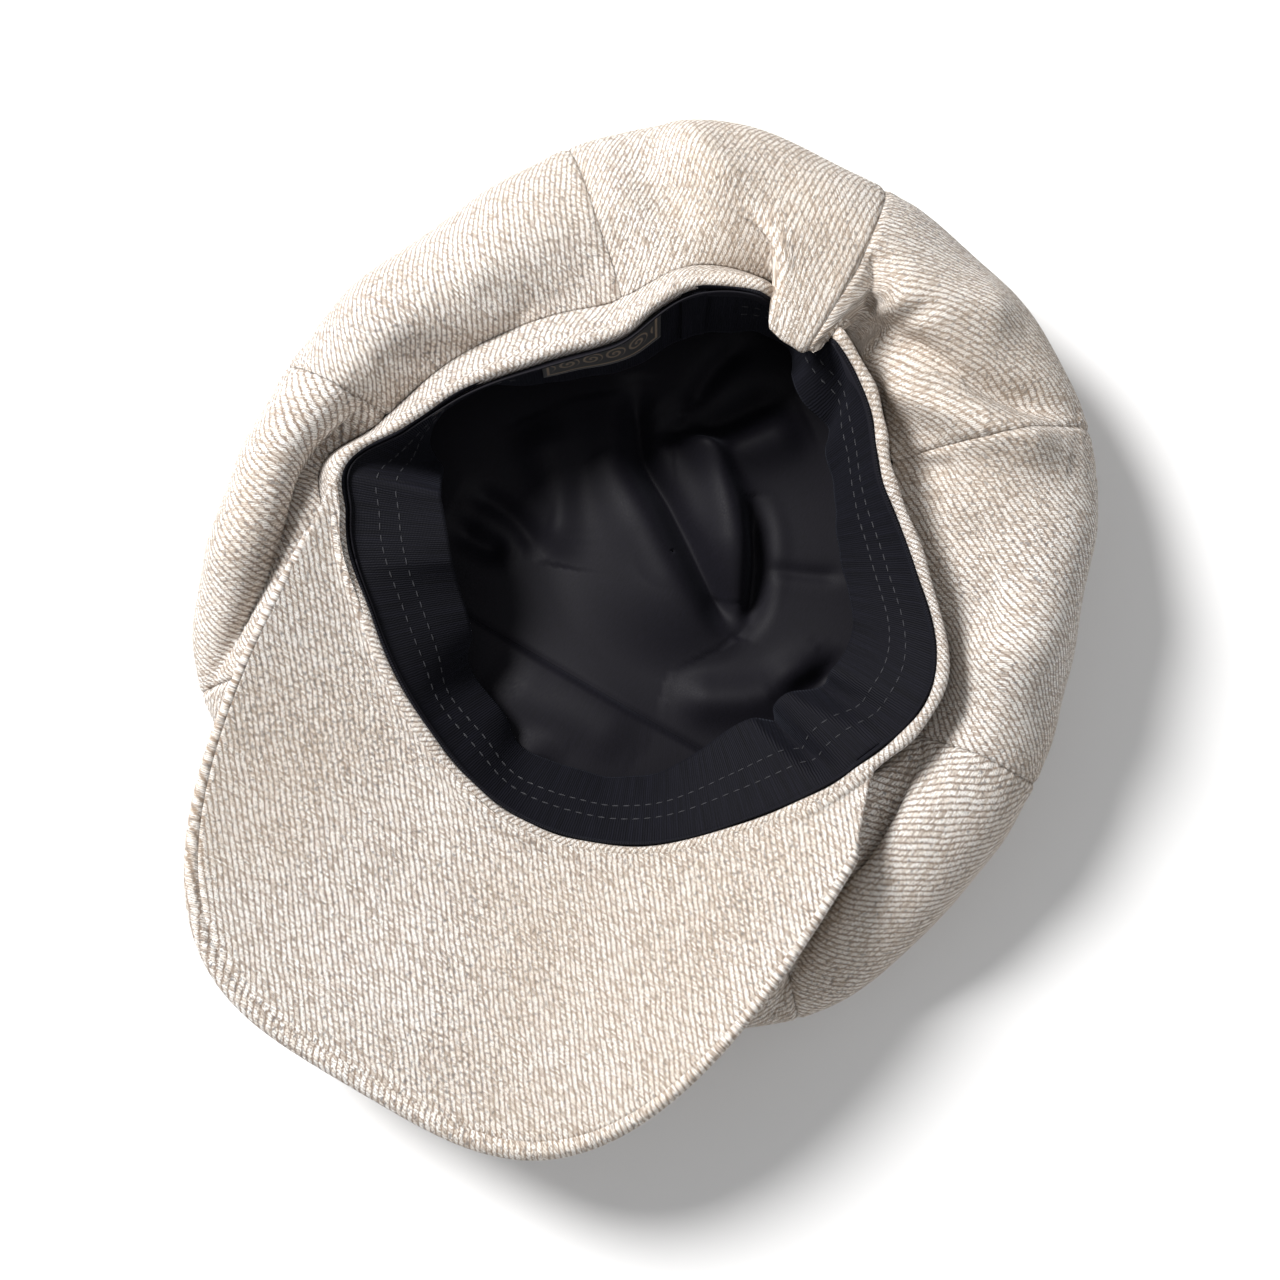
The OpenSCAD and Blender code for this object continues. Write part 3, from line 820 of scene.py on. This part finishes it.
def ribbon_section(angle, v):
    """The ribbon's face towards the head: v 0 at its sewn edge, then a straight run to its free edge."""
    top_z = rim_z(angle) - 1.2 * MM
    bend_z = rim_z(angle) - 4 * MM
    top = band_r(angle, bend_z) - RIBBON_DEPTH
    edge = np.minimum(HEAD_R * closed_curve(RIBBON_R, angle) - 5 * MM * bump(angle, 222, 40), top + 4 * MM)
    drop = np.sqrt(np.maximum(RIBBON_RUN**2 - (top - edge) ** 2, (6 * MM) ** 2))
    fall = np.clip((v - 0.1) / 0.9, 0, 1)
    z = np.where(v < 0.1, top_z + (bend_z - top_z) * v / 0.1, bend_z - drop * fall)
    r = np.where(v < 0.1, top + 0.2 * MM, top + (edge - top) * fall)
    return stand(r, z, angle)


# Middle of each buckle round the ribbon, half its width in degrees, and its height in millimetres
RIBBON_FOLDS = [
    (70, 5, 7.0), (78, 3.5, -5.5), (62, 2.2, -7.0), (55, 5, 3.0), (300, 6, 1.2), (286, 4, 2.5),
    (279, 4, -2.5), (172, 6, 5.0), (161, 4, -3.5), (197, 6, 1.5), (20, 9, 1.2), (340, 10, -1.0),
    (128, 9, 1.2), (100, 9, -1.0), (250, 9, 1.0), (265, 7, -1.2), (322, 5, 2.0), (333, 4, -2.5),
    (345, 4, 2.2), (356, 4, -1.5), (8, 5, 1.5),
]


def ribbon_lift(points, angle, v):
    """Buckles in the ribbon, which are deeper towards its free edge."""
    total = 0
    for centre, half_width, height in RIBBON_FOLDS:
        total = total + height * MM * bump(angle + 6 * (v - 0.5), centre, 2 * half_width)
    ripple = 0.2 * MM * np.sin(np.radians(angle) * 31 + 3 * v)
    return total * v + ripple * v * v


def ribbon_place(angle, v):
    return with_lift(ribbon_section, ribbon_lift, angle, v)


def sweatband():
    angles, length = around(0, 360, lambda a: rim_r(a) - RIBBON_DEPTH)

    def place(u, v):
        return ribbon_place(360 * u, v)

    def flat(u, v):
        return np.stack([np.interp(360 * u, angles, length), 33 * MM * v], axis=-1)

    piece = cloth("sweatband_ribbon", 480, 30, place, flat, RIBBON, ribbon, closed=True, side=1)
    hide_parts("sweatband")
    flex(piece)


def ribbon_face(angle, v, lift=0.0):
    """Points on the ribbon's inner face, and their axes: along, across and away from it."""
    angle, v = np.atleast_1d(angle).astype(float), np.atleast_1d(v).astype(float)
    here = ribbon_place(angle, v)
    along = ribbon_place(angle + 0.2, v) - ribbon_place(angle - 0.2, v)
    across = ribbon_place(angle, v + 0.01) - ribbon_place(angle, v - 0.01)
    along /= np.linalg.norm(along, axis=1, keepdims=True)
    across /= np.linalg.norm(across, axis=1, keepdims=True)
    away = np.cross(along, across)
    away *= np.sign(np.sum(away * (np.array([CROWN_X, CROWN_Y, 0.09]) - here), axis=1, keepdims=True))
    return here + away * np.reshape(lift, (-1, 1)), along, across, away


# ---------------------------------------------------------------- stitches


def stitches(name, places, length, radius, material):
    """Short rounded stitches, each lying along its own direction."""
    bm = bmesh.new()
    for point, along, away in places:
        side = np.cross(away, along)
        side /= np.linalg.norm(side)
        away = np.cross(along, side)
        turn = Matrix([(along[i], side[i], away[i]) for i in range(3)]).to_4x4()
        size = Matrix.Diagonal((length / 2, radius, radius * 0.8, 1))
        made = bmesh.ops.create_uvsphere(bm, u_segments=8, v_segments=6, radius=1)["verts"]
        on_side = Matrix.Rotation(pi / 2, 4, "Y")
        bmesh.ops.transform(bm, matrix=Matrix.Translation(Vector(point)) @ turn @ size @ on_side, verts=made)
    for face in bm.faces:
        face.smooth = True
    return finish_mesh(bm, name, material)


RIBBON_STITCH_GAP = 3.4


def sweatband_stitches():
    places = []
    for share in (0.40, 0.58):
        angles, length = around(254, 556, lambda a: rim_r(a) * 0.85)
        count = int(length[-1] / (RIBBON_STITCH_GAP * MM))
        at = np.interp(np.arange(count) * RIBBON_STITCH_GAP * MM, length, angles)
        point, along, _, away = ribbon_face(at, np.full(count, share), RIBBON + 0.1 * MM)
        places += list(zip(point, along, away))
    piece = stitches("sweatband_stitches", places, 2.1 * MM, 0.2 * MM, dark_thread)
    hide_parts("sweatband_thread")
    flex(piece)


# ---------------------------------------------------------------- label and tab


def patch(name, from_angle, to_angle, from_v, to_v, lift, thickness, size, material, columns, rows):
    """A flat patch sewn on the ribbon."""

    def place(u, v):
        angle = from_angle + (to_angle - from_angle) * u
        share = from_v + (to_v - from_v) * v
        point, _, _, _ = ribbon_face(angle, share, RIBBON + lift)
        return point

    def flat(u, v):
        return np.stack([(u - 0.5) * size[0], (v - 0.5) * size[1]], axis=-1)

    return cloth(name, columns, rows, place, flat, thickness, material, side=0)


def label():
    size = (LABEL_W, LABEL_H)
    piece = patch("woven_label_cloth", 214, 247, 0.14, 0.66, 0.5 * MM, 0.5 * MM, size, label_cloth, 60, 18)
    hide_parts("woven_label")
    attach(piece, "cap")


def care_tab():
    def place(u, v):
        angle = 202 + 6.5 * u
        fold = np.abs(v - 0.5) * 2
        lift = RIBBON + 0.4 * MM + (0.7 + 1.2 * (1 - fold)) * MM * (v > 0.5)
        point, _, _, _ = ribbon_face(angle, 0.08 + 0.82 * (1 - fold), lift)
        return point

    def flat(u, v):
        return np.stack([u * 9 * MM, v * 50 * MM], axis=-1)

    piece = cloth("care_tab_cloth", 12, 40, place, flat, 0.35 * MM, ribbon, side=0)
    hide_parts("care_tab")
    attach(piece, "cap")


# ---------------------------------------------------------------- lining

SEAM_AHEAD = 49 * MM
CLEAR = 3 * MM


def tip_edge(angle):
    """The seam between the lining's tip and its front piece runs straight across the cap."""
    c = np.cos(np.radians(angle))
    return np.where(c < 0.55, 0.98 * HEAD_R, np.minimum(SEAM_AHEAD / np.maximum(c, 0.55), 0.98 * HEAD_R))


def lining_base(angle, s):
    """The lining's face towards the head.

    s is 0 at its centre, 1 at the tip's edge, 2 on the wall, 3 up by the ribbon and 4 at the rim.
    """
    clear = CLEAR + LINING
    edge, wall, out = tip_edge(angle), FOOT_SHARE * reach(angle) - 1 * MM, reach(angle) - clear
    wall = np.maximum(wall, edge + 4 * MM)
    out_z = reach_z(angle)
    z_seam = seam_z(angle) - 2 * MM
    r_seam = band_r(angle, seam_z(angle)) - RIBBON_DEPTH
    r_top = band_r(angle, rim_z(angle)) - RIBBON_DEPTH + 0.3 * MM
    zero = 0 * edge
    shares = [0.5, 1, 1.5, 2, 2.4, 2.8, 3.4, 4]
    r = through(shares, [
        2 * edge - wall, edge, wall, wall + 0.75 * (out - wall),
        out, out - 7 * MM, r_seam, r_top,
    ], s)
    z = through(shares, [
        zero + clear, zero + clear, zero + clear + 0.5 * MM, clear + 0.35 * out_z,
        out_z, out_z + 0.5 * (z_seam - out_z), z_seam, rim_z(angle) - 2 * MM,
    ], s)
    tip = s < 1
    r = np.where(tip, edge * s, r)
    z = np.where(tip, dish(edge * s) + clear, z)
    return stand(r, z, angle)


def inner_fold(route, *sizes, **kinds):
    """A fold in the lining: its route is given in millimetres from the crown's centre, right and ahead."""
    return Fold([(CROWN_X + x * MM, CROWN_Y - y * MM) for x, y in route], *sizes, **kinds)


LINING_FOLDS = [
    inner_fold([(-38, -44), (-30, -31), (-21, -20), (-6, -11), (9, -1), (21, 7), (30, 12)], 4.5, -9,
               fade=0.15),
    inner_fold([(12, -28), (20, -16), (26, -6), (30, 3), (31, 12)], 4, -8, fade=0.3),
    inner_fold([(-20, -42), (-4, -29), (9, -17), (17, -7), (22, 3)], 5, 7, fade=0.3),
    inner_fold([(-46, -32), (-31, -16), (-14, -4), (4, 8), (24, 19)], 9, 5, fade=0.3),
    inner_fold([(8, -66), (0, -54), (-8, -43), (-18, -36), (-27, -38)], 6, -7),
    inner_fold([(-12, -74), (-17, -60), (-18, -48), (-16, -40)], 4, -4),
    inner_fold([(16, -58), (5, -44), (-5, -33), (-14, -26)], 7, 5),
    inner_fold([(-68, 26), (-54, 27), (-42, 24)], 4.5, -6, fade=0.35),
    inner_fold([(-68, 15), (-55, 14), (-43, 17), (-36, 22)], 4, -4),
    inner_fold([(-60, -16), (-46, -5), (-34, 7), (-28, 20)], 8, 5),
    inner_fold([(52, -22), (40, -16), (25, -10)], 2.5, -1.5),
    inner_fold([(20, 38), (35, 33), (50, 21), (58, 4)], 7, 5),
    inner_fold([(64, 0), (60, 12), (50, 24)], 5, -6, fade=0.4),
    inner_fold([(-24, 84), (-9, 77), (2, 70)], 4, 3, fade=0.4),
    inner_fold([(-30, 60), (-14, 60), (4, 58), (22, 60)], 9, 3),
]


def lining_lift(points, angle, s):
    """Slack folds, pushed up towards the head."""
    plan = points[:, :2]
    x, y = plan[:, 0], plan[:, 1]
    total = sum(fold.lift(plan) for fold in LINING_FOLDS)
    slack = 0.8 * MM * np.sin(x / (13 * MM) + 2 * np.sin(y / (19 * MM))) * np.sin(y / (15 * MM))
    from_seam = np.abs(CROWN_Y - SEAM_AHEAD - y)
    groove = -0.8 * MM * np.exp(-((from_seam / (1.2 * MM)) ** 2)) * (np.abs(x - CROWN_X) < 76 * MM)
    room = ease((2.5 - s) / 0.8)
    return -np.maximum(total + slack + groove + 9 * MM, 0.5 * MM) * room


def lining_piece(name, node, from_angle, to_angle, from_s, to_s, columns, rows, closed=False):
    angles, length = around(from_angle, to_angle, lambda a: 0.9 * HEAD_R + 0 * a)

    def at(u, v):
        return from_angle + (to_angle - from_angle) * u, from_s + (to_s - from_s) * v

    def place(u, v):
        angle, s = at(u, v)
        return with_lift(lining_base, lining_lift, angle, np.maximum(s, 0.004) if from_s == 0 else s)

    def flat(u, v):
        angle, s = at(u, v)
        points = lining_base(angle, s)
        if from_s == 0:
            return points[:, :2]
        return np.stack([np.interp(angle, angles, length), points[:, 2] + s * 20 * MM], axis=-1)

    piece = cloth(name, columns, rows, place, flat, LINING, satin, closed=closed)
    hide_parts(node)
    if from_s == 0:
        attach(piece, "cap")
    else:
        flex(piece)


def lining():
    lining_piece("lining_tip_cloth", "lining_tip", 0, 360, 0, 1, 240, 80, closed=True)
    lining_piece("lining_front_cloth", "lining_front", -56.25, 56.25, 1, 4, 110, 100)
    lining_piece("lining_sides_cloth", "lining_sides", 56.25, 303.75, 1, 4, 240, 90)


# ---------------------------------------------------------------- peak

PEAK_HALF_ANGLE = 71
HEM = 6 * MM
BOARD = 1.8 * MM
CORNER_Y = CROWN_Y - float(rim_r(289.0)) * cos(radians(PEAK_HALF_ANGLE))
PEAK_EDGE_HALF_W = 92.5 * MM
PEAK_FRONT_Y = FRONT_Y + 0.5 * MM
PEAK_LENGTH = 88 * MM


def peak_root(u):
    a = PEAK_HALF_ANGLE * (2 * u - 1)
    return stand(rim_r(a) - 1.4 * MM, 0.0, a)[..., :2]


def peak_edge(u):
    t = np.radians(4 + 172 * u)
    c = np.cos(t)
    x = CROWN_X - np.sign(c) * PEAK_EDGE_HALF_W * np.abs(c) ** 0.55
    y = CORNER_Y + (PEAK_FRONT_Y - CORNER_Y) * np.sin(t) ** 0.72
    return np.stack([x, y], axis=-1)


def peak_run(u):
    return np.linalg.norm(peak_edge(u) - peak_root(u), axis=-1)


def peak_height(p):
    """Height of the peak's middle surface: raised along both sides, and a little at the front."""
    side = np.minimum(np.abs(p[..., 0] - CROWN_X) / PEAK_EDGE_HALF_W, 1)
    ahead = np.maximum((CROWN_Y - rim_r(0.0) - p[..., 1]) / PEAK_LENGTH, 0)
    return rim_z(0.0) - 3.4 * MM + CAP_H * (0.26 * side**2.4 + 0.11 * ahead**2 * (1 - side**2))


def peak_point(u, v, side):
    """A point on one face of the peak, from the rim (v 0) to the hem's edge (v 1).

    side is 1 for the face seen from above.
    """
    p = peak_root(u) + v[..., None] * (peak_edge(u) - peak_root(u))
    left = (1 - v) * peak_run(u)
    pocket = BOARD / 2 * np.clip(left / HEM, 0, 1)
    groove = -1.1 * MM * np.exp(-(((left - 4.6 * MM) / (0.75 * MM)) ** 2))
    hem_roll = 0.8 * MM * np.exp(-(((left - 2.2 * MM) / (1.5 * MM)) ** 2))
    corner = np.sqrt(np.clip(left / (1.6 * MM), 0, 1))
    lift = side * (pocket + 1.5 * MM * corner + groove + hem_roll)
    near = v * peak_run(u)
    rise = 2.2 * MM * np.exp(-((near / (2.5 * MM)) ** 2)) if side > 0 else 0
    z = peak_height(p) + lift + rise
    a = PEAK_HALF_ANGLE * (2 * u - 1)
    at_rim = np.minimum(z, rim_z(a) + 0.6 * MM)
    tuck = np.exp(-((near / (9 * MM)) ** 2))
    z = z + tuck * (at_rim - z)
    return np.concatenate([p, z[..., None]], axis=-1)


def peak_rows(v):
    """Grid rows drawn together at the rim and the hem."""
    return np.interp(v, [0, 0.1, 0.62, 1], [0, 0.04, 0.82, 1])


def peak_cloth(name, side):
    def place(u, v):
        return peak_point(u, peak_rows(v), side)

    def flat(u, v):
        p = peak_root(u) + peak_rows(v)[..., None] * (peak_edge(u) - peak_root(u))
        return turned(p[..., 0], p[..., 1], PEAK_GRAIN)

    return cloth(name, 200, 110, place, flat, 1.2 * MM, twill)


def peak():
    for name, node, side in (("peak_under_cloth", "peak_under", 1), ("peak_top_cloth", "peak_top", -1)):
        piece = peak_cloth(name, side)
        if side < 0:
            for polygon in piece.data.polygons:
                polygon.flip()
        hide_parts(node)
        flex(piece)


def peak_board():
    def place(u, v):
        left = np.maximum(0.02, 1 - HEM / peak_run(u))
        p = peak_root(u) + (0.06 + (left - 0.06) * v)[..., None] * (peak_edge(u) - peak_root(u))
        return np.concatenate([p, (peak_height(p) + BOARD * 0.3)[..., None]], axis=-1)

    def flat(u, v):
        return place(u, v)[..., :2]

    def middle(f):
        return lambda u, v: f(0.08 + 0.84 * u, v)

    piece = cloth("peak_board_sheet", 60, 24, middle(place), middle(flat), BOARD * 0.6, board)
    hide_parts("peak_stiffener")
    flex(piece)


def light_stitches(name, line, gap, length, radius, away, lift):
    """Stitches in light thread, at an even gap along a line."""
    run = np.concatenate([[0], np.cumsum(np.linalg.norm(np.diff(line, axis=0), axis=1))])
    at = np.arange(0, run[-1], gap)
    point = np.stack([np.interp(at, run, line[:, k]) for k in range(3)], axis=-1)
    along = np.gradient(point, axis=0)
    along /= np.linalg.norm(along, axis=1, keepdims=True)
    places = [(p + away * lift, a, away) for p, a in zip(point, along)]
    return stitches(name, places, length, radius, light_thread)


def peak_stitches(name, node, side):
    """A row of topstitching a little way in from the hem's edge."""
    u = np.linspace(0.05, 0.95, 1200)
    line = peak_point(u, 1 - 4.5 * MM / peak_run(u), side)
    away = np.array([0, 0, float(side)])
    piece = light_stitches(name, line, 2.6 * MM, 1.8 * MM, 0.18 * MM, away, 0.02 * MM)
    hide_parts(node)
    flex(piece)


def tack_stitches():
    """Small stitches that tie the front of the crown to the peak."""
    u = np.linspace(0.14, 0.86, 600)
    line = peak_point(u, 0.1 + 0.52 * np.abs(np.sin(pi * (u - 0.14) / 0.72)) ** 0.8, 1)
    away = np.array([0, 0, 1.0])
    piece = light_stitches("tack_stitches", line, 5.2 * MM, 1.6 * MM, 0.24 * MM, away, 0.1 * MM)
    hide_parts("tack_thread")
    flex(piece)


# ---------------------------------------------------------------- button


def button():
    """The covered button's cloth, turned round the crown's axis, with small pleats at its back edge."""
    bm = bmesh.new()
    shoulder = 2.6 * MM
    section = [(0.0002, 0)] + [
        (BUTTON_R - shoulder + shoulder * sin(t), shoulder * (1 - cos(t)))
        for t in (radians(15 * k) for k in range(7))
    ] + [(BUTTON_R - 0.1 * MM, BUTTON_H - 0.9 * MM)]
    edge = [bm.verts.new((r, 0, z)) for r, z in section]
    for a, b in zip(edge, edge[1:]):
        bm.edges.new((a, b))
    bmesh.ops.subdivide_edges(bm, edges=bm.edges[:1], cuts=8)
    whole = bm.verts[:] + bm.edges[:]
    bmesh.ops.spin(bm, geom=whole, cent=(0, 0, 0), axis=(0, 0, 1), angle=2 * pi, steps=64, use_merge=True)
    bmesh.ops.remove_doubles(bm, verts=bm.verts, dist=0.0003)
    bmesh.ops.recalc_face_normals(bm, faces=bm.faces)
    for vert in bm.verts:
        turn = np.arctan2(vert.co.y, vert.co.x)
        pleat = 1 - 0.02 * sin(18 * turn) * max(0, vert.co.z / BUTTON_H)
        vert.co = Vector((vert.co.x * pleat + CROWN_X, vert.co.y * pleat + CROWN_Y, vert.co.z))
    weave = bm.loops.layers.uv.new("weave")
    for face in bm.faces:
        face.smooth = True
        for loop in face.loops:
            loop[weave].uv = (loop.vert.co.x + loop.vert.co.z, loop.vert.co.y)
    piece = finish_mesh(bm, "button_cover_cloth", twill)
    wall = piece.modifiers.new("thickness", "SOLIDIFY")
    wall.thickness = 0.7 * MM
    wall.offset = -1
    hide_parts("button_cover")
    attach(piece, "cap")


def button_metal():
    for node, material in (("button_shell", steel), ("button_back", steel), ("button_washer", brass)):
        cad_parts[node].data.materials.clear()
        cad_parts[node].data.materials.append(material)


# ---------------------------------------------------------------- floor, light and camera


def floor():
    bm = bmesh.new()
    bmesh.ops.create_grid(bm, x_segments=2, y_segments=2, size=3)
    material, g, surface = new_material("pale_floor")
    g.dress(surface, {"Base Color": (0.9, 0.9, 0.9, 1), "Roughness": 0.9})
    finish_mesh(bm, "floor", material)


VIEW_AZIMUTH, VIEW_ELEVATION, VIEW_DISTANCE = 30, 86, 0.6
VIEW_TARGET = Vector((0.0049, -0.0006, 0.040))
VIEW_LENS = 55.97


def view_axes():
    az, el = radians(VIEW_AZIMUTH), radians(VIEW_ELEVATION)
    back = Vector((cos(el) * sin(az), -cos(el) * cos(az), sin(el)))
    right = Vector((cos(az), sin(az), 0))
    return right, back.cross(right), back


def aimed(place, target):
    return Matrix.Translation(place) @ (place - target).to_track_quat("Z", "Y").to_matrix().to_4x4()


def area_light(name, place, target, size, energy, colour):
    data = bpy.data.lights.new(name, "AREA")
    data.shape = "DISK"
    data.size = size
    data.energy = energy
    data.color = colour
    lamp = bpy.data.objects.new(name, data)
    lamp.matrix_world = aimed(Vector(place), Vector(target))
    bpy.context.scene.collection.objects.link(lamp)


def lights():
    right, up, _ = view_axes()
    key = -0.7 * right + 0.54 * up + Vector((0, 0, 0.94))
    area_light("key", key, (0, 0, 0), 0.45, 27.0, (1.0, 0.99, 0.98))
    fill = 0.9 * right - 0.7 * up + Vector((0, 0, 1.2))
    area_light("fill", fill, (0, 0, 0), 1.2, 2.5, (0.95, 0.97, 1.0))
    world = bpy.data.worlds.new("studio")
    world.use_nodes = True
    world.node_tree.nodes["Background"].inputs["Color"].default_value = (1, 1, 1, 1)
    world.node_tree.nodes["Background"].inputs["Strength"].default_value = 0.36
    bpy.context.scene.world = world


def camera():
    right, up, back = view_axes()
    data = bpy.data.cameras.new("view")
    data.sensor_width = 36
    data.lens = VIEW_LENS
    data.clip_start = 0.01
    eye = bpy.data.objects.new("view", data)
    place = VIEW_TARGET + VIEW_DISTANCE * back
    turn = Matrix([(right[i], up[i], back[i]) for i in range(3)]).to_4x4()
    eye.matrix_world = Matrix.Translation(place) @ turn
    bpy.context.scene.collection.objects.link(eye)
    bpy.context.scene.camera = eye
    bpy.context.scene.view_settings.view_transform = "Standard"


camera()
lights()
floor()
for number in range(1, 9):
    crown_panel(number)
headband()
interlining()
sweatband()
sweatband_stitches()
label()
care_tab()
lining()
peak()
peak_board()
peak_stitches("peak_needle_stitches", "peak_needle_thread", 1)
peak_stitches("peak_bobbin_stitches", "peak_bobbin_thread", -1)
tack_stitches()
button()
button_metal()
